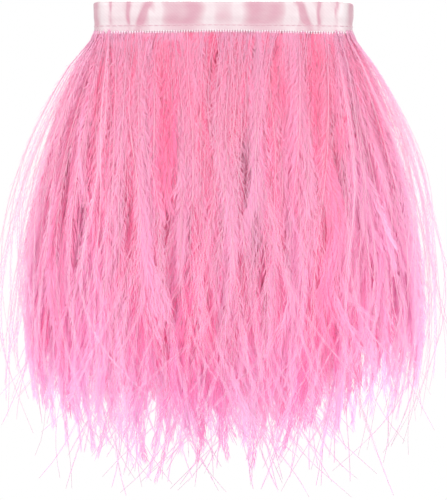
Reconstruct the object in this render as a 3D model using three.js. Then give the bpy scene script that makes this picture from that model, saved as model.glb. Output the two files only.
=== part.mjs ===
// Ostrich feather fringe on a folded satin ribbon, wound up into a flat oblong loop.
// Millimetres, +X along the loop, -Y the front, +Z up. It is held up, so its origin is
// the middle of the flat band on the loop's back face, where it is sewn on.
import * as THREE from 'three';

// Ribbon: a one-inch satin ribbon, folded lengthwise over the quill ends. The seam pulls
// its two leaves together, and above the seam they puff out into a flat band.
const RIBBON_WIDTH = 25.4;
const LEAF = 0.3;
const FOLD_ROOM = 1.1;
const BAND_ROOM = 2;
const LOOP_WIDTH = 101;
const TURNS = 3;
const INNER_BEND = 1.5;
const LAYER_GAP = 1.2;

// What the fold holds: the quill ends and the cotton string that they are chain-stitched to.
const QUILL_THICKNESS = 0.5;
const QUILL_HEIGHT = 8;
const STRING_THICKNESS = 0.9;
const STRING_HEIGHT = 1.2;
const FOLD_CLEARANCE = 0.35;

// Seam: a needle thread on the outer face and a bobbin thread on the inner face.
const SEAM_DROP = 9.5;
const SEAM_LAND = 1.3;
const PINCH_HEIGHT = 0.5;
const THREAD_THICKNESS = 0.2;
const THREAD_HEIGHT = 0.4;
const THREAD_CLEARANCE = 0.2;

// Fringe: how long it hangs, how far it swells out all round, and where it is widest.
const FRINGE_LENGTH = 172;
const STAGGER = 7;
const SWELL = 36;
const MIDDLE_SWELL = 21;
const CORE_SWELL = 10;
const WIDEST_AT = 0.6;
const HEAD_HALF = 0.45;
const HEAD_DROP = 0.6;
const TUFT_GAP = 0.8;
const TIP_LENGTH = 22;
const TIP_SHARE = 0.45;

// How many plume tufts each run of a turn carries.
const OUTER_TUFTS = 6;
const INNER_TUFTS = 5;
const END_TUFTS = 3;

// Steps in the swept and lofted surfaces.
const BEND_STEPS = 8;
const LEVEL_DEPTHS = [0, 7, 17, 30, 46, 64, 84, 104, 124];

const header = RIBBON_WIDTH / 2;
const foldThickness = 2 * LEAF + FOLD_ROOM;
const bandThickness = 2 * LEAF + BAND_ROOM;
const bandHeight = SEAM_DROP - SEAM_LAND;
const pitch = foldThickness + LAYER_GAP;
const outerBend = INNER_BEND + (TURNS - 1) * pitch;
const halfRun = (LOOP_WIDTH + pitch / 2 - bandThickness) / 2 - outerBend;
const backFace = outerBend + bandThickness / 2;
const mountHeight = -bandHeight / 2;

const satin = new THREE.MeshStandardMaterial({ color: 0xe6bcc8, roughness: 0.35, metalness: 0 });
const cotton = new THREE.MeshStandardMaterial({ color: 0xf1d9de, roughness: 0.9, metalness: 0 });
const thread = new THREE.MeshStandardMaterial({ color: 0xd9a9b8, roughness: 0.7, metalness: 0 });
const quill = new THREE.MeshStandardMaterial({ color: 0xe58fae, roughness: 0.6, metalness: 0 });
const plume = new THREE.MeshStandardMaterial({ color: 0xff9fc2, roughness: 0.85, metalness: 0 });
const plumeCore = new THREE.MeshStandardMaterial({ color: 0xf27fa9, roughness: 0.85, metalness: 0 });

const trim = new THREE.Group();
trim.position.set(0, -backFace, -mountHeight);

/** Adds a named mesh to the trim. */
function addMesh(name, geometry, material) {
  const mesh = new THREE.Mesh(geometry, material);
  mesh.name = name;
  trim.add(mesh);
}

/** Closed body through rings of points, all with the same count and sense. */
function loft(rings) {
  const size = rings[0].length;
  const positions = rings.flat().flatMap((point) => point.toArray());
  const indices = [];
  for (let ring = 0; ring + 1 < rings.length; ring += 1) {
    for (let side = 0; side < size; side += 1) {
      const here = ring * size + side;
      const beside = ring * size + ((side + 1) % size);
      indices.push(here, beside, here + size);
      indices.push(beside, beside + size, here + size);
    }
  }
  const flat = (ring) => THREE.ShapeUtils.triangulateShape(flatten(ring), []);
  const last = (rings.length - 1) * size;
  for (const [a, b, c] of flat(rings[0])) {
    indices.push(a, c, b);
  }
  for (const [a, b, c] of flat(rings.at(-1))) {
    indices.push(last + a, last + b, last + c);
  }
  const geometry = new THREE.BufferGeometry();
  geometry.setAttribute('position', new THREE.Float32BufferAttribute(positions, 3));
  geometry.setIndex(indices);
  geometry.computeVertexNormals();
  return geometry;
}

/** A flat ring of 3-D points as 2-D points in its own plane, in the same sense. */
function flatten(ring) {
  const normal = new THREE.Vector3();
  ring.forEach((point, index) => {
    const next = ring[(index + 1) % ring.length];
    normal.add(new THREE.Vector3().crossVectors(point, next));
  });
  normal.normalize();
  const across = new THREE.Vector3().subVectors(ring[1], ring[0]).normalize();
  const along = new THREE.Vector3().crossVectors(normal, across);
  return ring.map((point) => new THREE.Vector2(point.dot(across), point.dot(along)));
}

/** Stations along the wound centre line, from its inner end: a point and its outward direction. */
function windingStations() {
  const stations = [];
  const leftY = -pitch / 2;
  for (let turn = 0; turn < TURNS; turn += 1) {
    const radius = INNER_BEND + turn * pitch;
    if (turn > 0) {
      stations.push(...bend(-halfRun, leftY, radius - pitch / 2, Math.PI / 2));
    } else {
      stations.push(station(-halfRun, -radius, -Math.PI / 2));
    }
    stations.push(...bend(halfRun, 0, radius, -Math.PI / 2));
    if (turn === TURNS - 1) {
      stations.push(station(-halfRun, radius, Math.PI / 2));
    }
  }
  return stations;
}

/** A point with the outward direction at an angle from +X. */
function station(x, y, angle) {
  return { x, y, outX: Math.cos(angle), outY: Math.sin(angle) };
}

/** Stations on a half turn about a centre, from a start angle, anticlockwise. */
function bend(centreX, centreY, radius, start) {
  const stations = [];
  for (let step = 0; step <= BEND_STEPS; step += 1) {
    const angle = start + (Math.PI * step) / BEND_STEPS;
    const x = centreX + radius * Math.cos(angle);
    const y = centreY + radius * Math.sin(angle);
    stations.push(station(x, y, angle));
  }
  return stations;
}

/** Sweeps an upright section of (outward, height) points along the winding. */
function sweepWinding(section) {
  const rings = windingStations().map((place) => section.map(([out, height]) => (
    new THREE.Vector3(place.x + out * place.outX, place.y + out * place.outY, height)
  )));
  return loft(rings.reverse());
}

/** Upright rectangle from its middle's outward offset and its top. */
function upright(offset, thickness, top, height) {
  const low = offset - thickness / 2;
  const high = offset + thickness / 2;
  return [[low, top - height], [high, top - height], [high, top], [low, top]];
}

/** How far the fringe has swollen at a depth below the ribbon, from 0 to 1. */
function swellShare(depth) {
  return Math.sin((Math.PI * depth) / (2 * WIDEST_AT * FRINGE_LENGTH));
}

/** Inner and outer radius of a row of tufts at a depth, measured from the loop's middle. */
const ROWS = {
  outer: (depth) => {
    const share = swellShare(depth);
    const inner = outerBend - HEAD_HALF + MIDDLE_SWELL * share;
    return [inner, outerBend + HEAD_HALF + SWELL * share];
  },
  middle: (depth) => {
    const share = swellShare(depth);
    const middle = outerBend - pitch;
    const inner = middle - HEAD_HALF + CORE_SWELL * share;
    return [inner, middle + HEAD_HALF + MIDDLE_SWELL * share];
  },
  core: (depth) => [INNER_BEND - HEAD_HALF, INNER_BEND + HEAD_HALF + CORE_SWELL * swellShare(depth)],
};

/** Cell of a straight run: share across and share outwards, to a place in plan. */
function runCell(row, side, from, to) {
  return (depth, across, outward) => {
    const [inner, outer] = row(depth);
    const x = THREE.MathUtils.lerp(from + TUFT_GAP / 2, to - TUFT_GAP / 2, across);
    const out = THREE.MathUtils.lerp(inner, outer, outward);
    return [side * x, side * out];
  };
}

/** Cell of a bend: a sector about the bend's centre, its sides moved in by half the gap. */
function endCell(row, side, from, to) {
  const offset = side < 0 ? pitch / 2 : 0;
  return (depth, across, outward) => {
    const [inner, outer] = row(depth).map((radius) => Math.max(radius - offset, 0));
    const radius = THREE.MathUtils.lerp(inner, outer, outward);
    const margin = Math.min(TUFT_GAP / 2 / Math.max(radius, TUFT_GAP), (to - from) / 3);
    const angle = THREE.MathUtils.lerp(to - margin, from + margin, across);
    const x = halfRun + radius * Math.cos(angle);
    const y = radius * Math.sin(angle);
    return [side * x, side * y - offset];
  };
}

/** Outline of a tuft's cross-section in its cell, as shares across and outwards. */
const TUFT_OUTLINE = [
  [0, 0], [1 / 3, 0], [2 / 3, 0], [1, 0],
  [1, 0.72], [2 / 3, 1], [1 / 3, 1], [0, 0.72],
];

/** Outline of the packed core under a bend, a half disc. */
const CORE_OUTLINE = [
  [0, 0.05], [1, 0.05], [1, 1], [0.8, 1], [0.6, 1], [0.4, 1], [0.2, 1], [0, 1],
];

/** A hanging plume tuft that fills its cell and narrows to a ragged tip. */
function tuftGeometry(cell, length, outline) {
  const depths = LEVEL_DEPTHS.filter((depth) => depth < length - TIP_LENGTH - 4);
  const top = -header - HEAD_DROP;
  const ring = (depth, share) => outline.map(([across, outward]) => {
    const middleAcross = 0.5 + (across - 0.5) * share;
    const middleOut = 0.5 + (outward - 0.5) * share;
    const [x, y] = cell(depth, middleAcross, middleOut);
    return new THREE.Vector3(x, y, top - depth);
  });
  const rings = depths.map((depth) => ring(depth, 1));
  rings.push(ring(length - TIP_LENGTH, 1));
  rings.push(ring(length, TIP_SHARE));
  return loft(rings.reverse());
}

/** Length of the n-th tuft: tufts differ a little, as plumes do. */
function tuftLength(index) {
  return FRINGE_LENGTH - STAGGER * (1 - Math.cos(2.4 * index));
}

/** Adds the tufts of one straight run, numbered from the left as seen from the front. */
function addRun(label, row, side, count, material) {
  const width = (2 * halfRun) / count;
  for (let index = 0; index < count; index += 1) {
    const place = side < 0 ? count - 1 - index : index;
    const from = -halfRun + width * place;
    const cell = runCell(row, side, from, from + width);
    const name = `${label}_${index + 1}`;
    addMesh(name, tuftGeometry(cell, tuftLength(index + 3 * side), TUFT_OUTLINE), material);
  }
}

/** Adds the tufts that fan out round one bend, numbered from the front. */
function addEnd(label, side) {
  const wedge = Math.PI / END_TUFTS;
  for (let index = 0; index < END_TUFTS; index += 1) {
    const place = side < 0 ? END_TUFTS - 1 - index : index;
    const from = -Math.PI / 2 + wedge * place;
    const cell = endCell(ROWS.outer, side, from, from + wedge);
    const name = `${label}_${index + 1}`;
    addMesh(name, tuftGeometry(cell, tuftLength(index + 2 * side), TUFT_OUTLINE), plume);
  }
}

/** Adds the packed plumes under the inner bends at one end. */
function addEndCore(name, side) {
  const cell = endCell(ROWS.middle, side, -Math.PI / 2, Math.PI / 2);
  const solid = (depth, across, outward) => {
    const [x, y] = cell(depth, across, 1);
    const [middleX, middleY] = [side * halfRun, side < 0 ? -pitch / 2 : 0];
    return [
      THREE.MathUtils.lerp(middleX + side * TUFT_GAP / 2, x, outward),
      THREE.MathUtils.lerp(middleY, y, outward),
    ];
  };
  addMesh(name, tuftGeometry(solid, FRINGE_LENGTH, CORE_OUTLINE), plumeCore);
}

/** One leaf's outline from the fold down to its selvedge, as (outward, height) points. */
function leafOutline(bandHalf, seamHalf, top) {
  return [
    [bandHalf, top], [bandHalf, -bandHeight],
    [seamHalf, -bandHeight - PINCH_HEIGHT], [seamHalf, -header],
  ];
}

/** The folded ribbon, open along its lower edge, with both leaves and the fold on top. */
function addRibbon() {
  const outside = leafOutline(bandThickness / 2, foldThickness / 2, 0);
  const inside = leafOutline(BAND_ROOM / 2, FOLD_ROOM / 2, -LEAF);
  const mirrored = (outline) => outline.map(([out, height]) => [-out, height]);
  addMesh('satin_ribbon', sweepWinding([
    ...mirrored(outside), ...mirrored(inside).reverse(), ...inside, ...outside.reverse(),
  ]), satin);
}

/** The quill ends and the string above them, inside the fold. */
function addFoldFilling() {
  const quillTop = -header + FOLD_CLEARANCE + QUILL_HEIGHT;
  const stringTop = quillTop + FOLD_CLEARANCE + STRING_HEIGHT;
  addMesh('quill_row', sweepWinding(upright(0, QUILL_THICKNESS, quillTop, QUILL_HEIGHT)), quill);
  addMesh('heading_string', sweepWinding(
    upright(0, STRING_THICKNESS, stringTop, STRING_HEIGHT),
  ), cotton);
}

/** The two threads of the seam through both leaves. */
function addSeam() {
  const offset = foldThickness / 2 + THREAD_CLEARANCE + THREAD_THICKNESS / 2;
  const top = -SEAM_DROP + THREAD_HEIGHT / 2;
  addMesh('needle_thread', sweepWinding(
    upright(offset, THREAD_THICKNESS, top, THREAD_HEIGHT),
  ), thread);
  addMesh('bobbin_thread', sweepWinding(
    upright(-offset, THREAD_THICKNESS, top, THREAD_HEIGHT),
  ), thread);
}

addRibbon();
addFoldFilling();
addSeam();
addRun('front_tuft', ROWS.outer, -1, OUTER_TUFTS, plume);
addRun('back_tuft', ROWS.outer, 1, OUTER_TUFTS, plume);
addEnd('left_tuft', -1);
addEnd('right_tuft', 1);
addRun('front_middle_tuft', ROWS.middle, -1, INNER_TUFTS, plumeCore);
addRun('back_middle_tuft', ROWS.middle, 1, INNER_TUFTS, plumeCore);
addRun('front_core_tuft', ROWS.core, -1, INNER_TUFTS, plumeCore);
addRun('back_core_tuft', ROWS.core, 1, INNER_TUFTS, plumeCore);
addEndCore('left_end_core', -1);
addEndCore('right_end_core', 1);

export default trim;
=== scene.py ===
"""Ostrich feather fringe on a folded satin ribbon, wound up into a flat oblong loop.

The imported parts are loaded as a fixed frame. Every piece is built round it, in metres, in the same
frame: +X along the loop, -Y the front, +Z up.
"""

import logging
import math
from dataclasses import dataclass, field
from enum import Enum

import bpy
import numpy as np
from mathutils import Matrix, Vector


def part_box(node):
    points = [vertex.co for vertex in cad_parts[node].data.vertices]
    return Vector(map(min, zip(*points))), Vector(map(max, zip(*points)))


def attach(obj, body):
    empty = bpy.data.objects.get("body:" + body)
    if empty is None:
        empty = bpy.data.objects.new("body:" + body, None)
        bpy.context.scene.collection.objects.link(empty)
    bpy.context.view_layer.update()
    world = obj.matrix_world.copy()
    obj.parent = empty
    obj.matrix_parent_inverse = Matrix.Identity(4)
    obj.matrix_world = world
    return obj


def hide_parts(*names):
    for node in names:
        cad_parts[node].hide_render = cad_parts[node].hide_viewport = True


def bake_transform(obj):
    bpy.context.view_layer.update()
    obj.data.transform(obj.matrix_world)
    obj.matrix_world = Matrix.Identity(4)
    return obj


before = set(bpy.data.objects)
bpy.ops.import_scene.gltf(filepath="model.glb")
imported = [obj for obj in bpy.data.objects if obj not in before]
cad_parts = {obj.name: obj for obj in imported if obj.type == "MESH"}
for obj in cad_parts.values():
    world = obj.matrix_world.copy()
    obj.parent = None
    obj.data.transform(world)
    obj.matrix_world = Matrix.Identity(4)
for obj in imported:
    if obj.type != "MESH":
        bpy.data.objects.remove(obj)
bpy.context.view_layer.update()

MM = 0.001
WHITE = (1, 1, 1, 1)
BLACK = (0, 0, 0, 1)
WAVE_LENGTH = 0.31  # the distance between two bands of a Wave texture at scale 1
log = logging.getLogger("fringe")


class Side(Enum):
    """Which way a run or a bend of the loop faces."""

    FRONT = "front"
    BACK = "back"
    LEFT = "left"
    RIGHT = "right"


# ---------------------------------------------------------------- hand modelling


def deselect_all() -> None:
    """Leave object mode with nothing selected."""
    if bpy.context.object and bpy.context.object.mode != "OBJECT":
        bpy.ops.object.mode_set(mode="OBJECT")
    bpy.ops.object.select_all(action="DESELECT")


def take(name: str) -> bpy.types.Object:
    """Name the primitive that was just added.

    Args:
        name: The piece's name.

    Returns:
        The new object.
    """
    piece = bpy.context.object
    piece.name = name
    piece.data.name = name
    return piece


def apply_modifier(piece: bpy.types.Object, kind: str, **settings: object) -> None:
    """Add a modifier with these settings and apply it.

    Args:
        piece: The object to change.
        kind: The modifier's type, such as "SOLIDIFY".
        settings: The modifier's properties.
    """
    deselect_all()
    piece.select_set(True)
    bpy.context.view_layer.objects.active = piece
    modifier = piece.modifiers.new(kind.title(), kind)
    for key, value in settings.items():
        setattr(modifier, key, value)
    bpy.ops.object.modifier_apply(modifier=modifier.name)


def points_of(piece: bpy.types.Object) -> np.ndarray:
    """Read a piece's vertices.

    Args:
        piece: The object to read.

    Returns:
        Their places, one row each, in metres.
    """
    found = np.empty(len(piece.data.vertices) * 3)
    piece.data.vertices.foreach_get("co", found)
    return found.reshape(-1, 3)


def place_points(piece: bpy.types.Object, points: np.ndarray) -> None:
    """Move the piece's vertices to new places."""
    piece.data.vertices.foreach_set("co", points.astype(np.float32).ravel())
    piece.data.update()


def faces_of(piece: bpy.types.Object) -> list[list[int]]:
    """The piece's faces, each as its vertex numbers."""
    return [list(face.vertices) for face in piece.data.polygons]


def mesh_piece(
    name: str, points: np.ndarray, corners: np.ndarray, sizes: np.ndarray
) -> bpy.types.Object:
    """Make a piece from points and faces.

    Args:
        name: The piece's name.
        points: Vertices, one row each, in metres.
        corners: Vertex numbers of all the faces, one after another.
        sizes: How many corners each face has.

    Returns:
        The new object.
    """
    mesh = bpy.data.meshes.new(name)
    mesh.vertices.add(len(points))
    mesh.vertices.foreach_set("co", points.astype(np.float32).ravel())
    mesh.loops.add(len(corners))
    mesh.loops.foreach_set("vertex_index", corners.astype(np.int32))
    mesh.polygons.add(len(sizes))
    starts = np.concatenate([[0], np.cumsum(sizes)[:-1]])
    mesh.polygons.foreach_set("loop_start", starts.astype(np.int32))
    mesh.polygons.foreach_set("loop_total", sizes.astype(np.int32))
    mesh.update(calc_edges=True)
    piece = bpy.data.objects.new(name, mesh)
    bpy.context.scene.collection.objects.link(piece)
    return piece


def copies_piece(
    name: str, model: bpy.types.Object, frames: np.ndarray, places: np.ndarray
) -> bpy.types.Object:
    """Copy a small model many times into one piece, then remove the model.

    Args:
        name: The new piece's name.
        model: The object that is copied.
        frames: One 3x3 matrix for each copy, whose columns are the copy's axes.
        places: One origin for each copy.

    Returns:
        The piece with all the copies.
    """
    shape = points_of(model)
    faces = faces_of(model)
    points = np.einsum("nij,kj->nki", frames, shape) + places[:, None, :]
    one = np.concatenate([np.array(face) for face in faces])
    sizes = np.array([len(face) for face in faces])
    shift = (np.arange(len(places)) * len(shape))[:, None]
    piece = mesh_piece(
        name, points.reshape(-1, 3), (one[None, :] + shift).ravel(), np.tile(sizes, len(places))
    )
    bpy.data.objects.remove(model)
    return piece


def stretch_all(factors: tuple[float, float, float]) -> None:
    """Stretch the active piece's whole mesh in edit mode.

    Args:
        factors: How much along each axis.
    """
    bpy.ops.object.mode_set(mode="EDIT")
    bpy.ops.mesh.select_all(action="SELECT")
    bpy.ops.transform.resize(value=factors)
    bpy.ops.object.mode_set(mode="OBJECT")


def ease(share: np.ndarray) -> np.ndarray:
    """A share from 0 to 1 that starts and ends gently."""
    return share * share * (3 - 2 * share)


def shade_smooth(piece: bpy.types.Object) -> None:
    """Shade every face of the piece smooth."""
    piece.data.polygons.foreach_set("use_smooth", np.ones(len(piece.data.polygons), bool))


# ---------------------------------------------------------------- finishes


def display_colour(red: int, green: int, blue: int) -> tuple[float, float, float, float]:
    """Turn a display colour into the linear colour that a shader takes.

    Args:
        red: How much red, 0 to 255.
        green: How much green, 0 to 255.
        blue: How much blue, 0 to 255.

    Returns:
        The linear red, green and blue, 0 to 1, and full opacity.
    """
    linear = [
        share / 12.92 if share <= 0.04045 else ((share + 0.055) / 1.055) ** 2.4
        for share in (red / 255, green / 255, blue / 255)
    ]
    return (*linear, 1.0)


class NodeBench:
    """A material's node tree with short calls to add and join nodes."""

    def __init__(self, name: str) -> None:
        """Start an empty material.

        Args:
            name: The material's name.
        """
        self.material = bpy.data.materials.new(name)
        self.material.use_nodes = True
        self.tree = self.material.node_tree
        self.tree.nodes.clear()
        self.out = self.add("ShaderNodeOutputMaterial")

    def add(self, kind: str, **settings: object) -> bpy.types.Node:
        """Add a node, setting its properties and the defaults of its inputs.

        Args:
            kind: The node's type.
            settings: Properties by name, or inputs by name with _ for a space.

        Returns:
            The node.
        """
        node = self.tree.nodes.new(kind)
        for key, value in settings.items():
            if hasattr(node, key):
                setattr(node, key, value)
            else:
                node.inputs[key.replace("_", " ")].default_value = value
        return node

    def join(self, start: bpy.types.NodeSocket, end: bpy.types.NodeSocket) -> None:
        """Link one socket to another."""
        self.tree.links.new(start, end)

    def feed(self, value: bpy.types.NodeSocket | float | tuple, end: bpy.types.NodeSocket) -> None:
        """Give an input its value.

        Args:
            value: A socket to link, or a plain value.
            end: The input.
        """
        if isinstance(value, bpy.types.NodeSocket):
            self.join(value, end)
        else:
            end.default_value = value

    def surface(self, shader: bpy.types.Node) -> bpy.types.Material:
        """Close the material with this shader as its surface. Returns the material."""
        self.join(shader.outputs[0], self.out.inputs["Surface"])
        return self.material

    def calculate(
        self, operation: str, *values: bpy.types.NodeSocket | float
    ) -> bpy.types.NodeSocket:
        """A sum, product or comparison.

        Args:
            operation: The Math node's operation.
            values: What goes in, in order.

        Returns:
            The value socket.
        """
        node = self.add("ShaderNodeMath", operation=operation)
        for value, end in zip(values, node.inputs):
            self.feed(value, end)
        return node.outputs["Value"]

    def ramp(
        self, factor: bpy.types.NodeSocket, stops: dict[float, tuple]
    ) -> bpy.types.NodeSocket:
        """A colour ramp.

        Args:
            factor: The socket that drives it.
            stops: Linear colours by position.

        Returns:
            The colour socket.
        """
        node = self.add("ShaderNodeValToRGB")
        elements = node.color_ramp.elements
        for index, (place, colour) in enumerate(stops.items()):
            element = elements[index] if index < 2 else elements.new(place)
            element.position = place
            element.color = colour
        self.join(factor, node.inputs["Fac"])
        return node.outputs["Color"]

    def mix(
        self,
        factor: bpy.types.NodeSocket | float,
        first: bpy.types.NodeSocket | tuple,
        second: bpy.types.NodeSocket | tuple,
        blend: str = "MIX",
    ) -> bpy.types.NodeSocket:
        """A colour mix of two colours or sockets.

        Args:
            factor: How much of the second.
            first: The first colour or socket.
            second: The second colour or socket.
            blend: The blend type.

        Returns:
            The colour socket.
        """
        node = self.add("ShaderNodeMix", data_type="RGBA", blend_type=blend)
        # A colour mix keeps its factor at input 0, its colours at 6 and 7 and its result at 2.
        for place, value in ((0, factor), (6, first), (7, second)):
            self.feed(value, node.inputs[place])
        return node.outputs[2]

    def mapped(self, layer: str, scale: tuple[float, float, float]) -> bpy.types.NodeSocket:
        """The piece's own UV map, scaled.

        Args:
            layer: The map's name.
            scale: The scale along each axis.

        Returns:
            The vector socket.
        """
        source = self.add("ShaderNodeUVMap", uv_map=layer)
        mapping = self.add("ShaderNodeMapping", Scale=scale)
        self.join(source.outputs["UV"], mapping.inputs["Vector"])
        return mapping.outputs["Vector"]

    def placed(
        self, scale: tuple[float, float, float], turned: tuple[float, float, float] = (0, 0, 0)
    ) -> bpy.types.NodeSocket:
        """The piece's own Object coordinates, scaled and turned.

        Args:
            scale: The scale along each axis.
            turned: The turn about each axis, in radians.

        Returns:
            The vector socket.
        """
        source = self.add("ShaderNodeTexCoord")
        mapping = self.add("ShaderNodeMapping", Scale=scale, Rotation=turned)
        self.join(source.outputs["Object"], mapping.inputs["Vector"])
        return mapping.outputs["Vector"]

    def bump(
        self, height: bpy.types.NodeSocket, strength: float, depth: float
    ) -> bpy.types.NodeSocket:
        """A bumped normal.

        Args:
            height: The socket of the heights.
            strength: How strong the bump is, 0 to 1.
            depth: How deep it is, in metres.

        Returns:
            The normal socket.
        """
        node = self.add("ShaderNodeBump", Strength=strength, Distance=depth)
        self.join(height, node.inputs["Height"])
        return node.outputs["Normal"]


@dataclass(frozen=True)
class SatinFinish:
    """Pale pink satin: a bright, slightly slubby face with fine diagonal floats, and painted sheen
    and shade on its creases.
    """

    light: tuple = display_colour(202, 192, 194)
    deep: tuple = display_colour(180, 130, 145)
    roughness: float = 0.34
    float_pitch: float = 0.7 * MM
    weave_pitch: float = 0.22 * MM
    slub_scale: tuple = (110, 320, 1)
    patch_scale: tuple = (75, 60, 1)
    painted_sheen_share: float = 0.75
    float_shadow: tuple = (0.95, 0.91, 0.93, 1)
    bump_depth: float = 0.05 * MM

    def material(self) -> bpy.types.Material:
        """Build the satin's material.

        Returns:
            The material.
        """
        bench = NodeBench("satin")
        shader = bench.add(
            "ShaderNodeBsdfPrincipled", Roughness=self.roughness, Sheen_Weight=0.1,
            Sheen_Roughness=0.4, Anisotropic=0.35, Specular_IOR_Level=0.5,
        )
        slub = bench.add("ShaderNodeTexNoise", Scale=1.0, Detail=4.0, Roughness=0.6)
        bench.join(bench.mapped("cloth", self.slub_scale), slub.inputs["Vector"])
        patch = bench.add("ShaderNodeTexNoise", Scale=1.0, Detail=2.0, Roughness=0.5)
        bench.join(bench.mapped("cloth", self.patch_scale), patch.inputs["Vector"])
        floats = bench.add(
            "ShaderNodeTexWave", wave_type="BANDS", bands_direction="DIAGONAL",
            Scale=1.0, Distortion=1.4, Detail=2.0,
        )
        turns = WAVE_LENGTH / self.float_pitch
        bench.join(bench.mapped("cloth", (turns, -turns, 1)), floats.inputs["Vector"])
        weave = bench.add("ShaderNodeTexWave", wave_type="BANDS", bands_direction="Y", Scale=1.0)
        across = WAVE_LENGTH / self.weave_pitch
        bench.join(bench.mapped("cloth", (across, across, 1)), weave.inputs["Vector"])
        # Painted sheen and shade: the creases' lighter and darker patches are laid into the colour.
        painted_sheen = bench.add("ShaderNodeAttribute", attribute_name="painted_sheen")
        painted_sheen_tone = bench.ramp(painted_sheen.outputs["Fac"], {0.15: self.deep, 0.8: self.light})
        tone = bench.ramp(patch.outputs["Fac"], {0.36: self.deep, 0.62: self.light})
        streak = bench.ramp(slub.outputs["Fac"], {0.3: self.deep, 0.7: self.light})
        colour = bench.mix(self.painted_sheen_share, bench.mix(0.5, tone, streak), painted_sheen_tone)
        lines = bench.ramp(floats.outputs["Fac"], {0.0: self.float_shadow, 0.6: WHITE})
        bench.join(bench.mix(0.5, colour, lines, "MULTIPLY"), shader.inputs["Base Color"])
        height = bench.mix(0.3, floats.outputs["Fac"], weave.outputs["Fac"])
        bench.join(bench.bump(height, 0.25, self.bump_depth), shader.inputs["Normal"])
        return bench.surface(shader)


@dataclass(frozen=True)
class YarnFinish:
    """Twisted yarn, for the threads, the picots and the heading string."""

    name: str
    light: tuple
    deep: tuple
    twist_pitch: float
    roughness: float = 0.7
    twist_way: tuple = (0.4, 0.7, 0.2)
    bump_depth: float = 0.05 * MM

    def material(self) -> bpy.types.Material:
        """Build the yarn's material.

        Returns:
            The material.
        """
        bench = NodeBench(self.name)
        shader = bench.add(
            "ShaderNodeBsdfPrincipled", Roughness=self.roughness, Sheen_Weight=0.3
        )
        turns = WAVE_LENGTH / self.twist_pitch
        plies = bench.add("ShaderNodeTexWave", wave_type="BANDS", Scale=1.0, Distortion=1.0)
        bench.join(bench.placed((turns, turns, turns), self.twist_way), plies.inputs["Vector"])
        colour = bench.ramp(plies.outputs["Fac"], {0.1: self.deep, 0.8: self.light})
        bench.join(colour, shader.inputs["Base Color"])
        bumped = bench.bump(plies.outputs["Fac"], 0.5, self.bump_depth)
        bench.join(bumped, shader.inputs["Normal"])
        return bench.surface(shader)


@dataclass(frozen=True)
class PlumeFinish:
    """Dyed ostrich flues: deep pink in the body, paler and more violet towards the tips.

    The map named "strand" holds a strand's shade across, with the ribs below rib_share, and its
    depth below the ribbon upwards. The shade is the strand's own tone with painted light laid on:
    painted shade, a deep hot pink, for the rows that lie behind, and painted light, a pale violet,
    for the tufts round the bends.
    """

    root: tuple = display_colour(255, 203, 226)
    body: tuple = display_colour(255, 214, 236)
    fringe: tuple = display_colour(255, 215, 240)
    tip: tuple = display_colour(246, 216, 244)
    rib: tuple = display_colour(255, 226, 238)
    rib_tip: tuple = display_colour(226, 180, 208)
    # Pale violet for the highest shades: own tone, and painted light round the bends.
    pale_and_lit: tuple = display_colour(253, 216, 240)
    rib_share: float = 0.1
    # Deep hot pink for the lowest shades: own tone, and painted shade deep in the fringe.
    between: tuple = (1.0, 0.55, 0.72, 1)
    most_pale_and_lit: tuple = (0.42, 0.42, 0.42, 1)
    glow: float = 0.66
    uneven: float = 0.5
    patch_scale: tuple = (130.0, 130.0, 24.0)

    def material(self) -> bpy.types.Material:
        """Build the flues' material.

        Returns:
            The material.
        """
        bench = NodeBench("plume")
        shader = bench.add(
            "ShaderNodeBsdfPrincipled", Roughness=0.6, Sheen_Weight=0.2, Sheen_Roughness=0.5,
            Specular_IOR_Level=0.35,
        )
        through = bench.add("ShaderNodeBsdfTranslucent")
        both = bench.add("ShaderNodeMixShader", Fac=self.glow)
        source = bench.add("ShaderNodeUVMap", uv_map="strand")
        split = bench.add("ShaderNodeSeparateXYZ")
        bench.join(source.outputs["UV"], split.inputs["Vector"])
        drawn, along = split.outputs["X"], split.outputs["Y"]
        patches = bench.add("ShaderNodeTexNoise", Scale=1.0, Detail=2.0)
        bench.join(bench.placed(self.patch_scale), patches.inputs["Vector"])
        uneven = bench.calculate(
            "MULTIPLY_ADD", patches.outputs["Fac"], self.uneven, -self.uneven / 2
        )
        shade = bench.calculate("ADD", drawn, uneven)
        barbs = bench.ramp(
            along, {0.0: self.root, 0.35: self.body, 0.68: self.fringe, 0.88: self.tip}
        )
        ribs = bench.ramp(
            along, {0.0: self.body, 0.2: self.rib, 0.7: self.rib, 0.92: self.rib_tip}
        )
        # Low shades multiply the barbs down to a deep hot pink: the locks' own tone, and painted
        # shade for the strands deep in the fringe.
        depth = bench.ramp(shade, {self.rib_share: self.between, 0.6: WHITE})
        # High shades mix in a pale violet: the locks' own tone, and painted light for the tufts
        # round the bends.
        lift = bench.ramp(shade, {0.5: BLACK, 1.0: self.most_pale_and_lit})
        # The dye colour multiplied by the shade ramp above, so it carries that painted shade too.
        dyed = bench.mix(1.0, barbs, depth, "MULTIPLY")
        pale = bench.mix(lift, dyed, self.pale_and_lit)
        is_rib = bench.calculate("LESS_THAN", drawn, self.rib_share)
        colour = bench.mix(is_rib, pale, ribs)
        bench.join(colour, shader.inputs["Base Color"])
        bench.join(colour, through.inputs["Color"])
        bench.join(shader.outputs["BSDF"], both.inputs[1])
        bench.join(through.outputs["BSDF"], both.inputs[2])
        return bench.surface(both)


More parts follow.
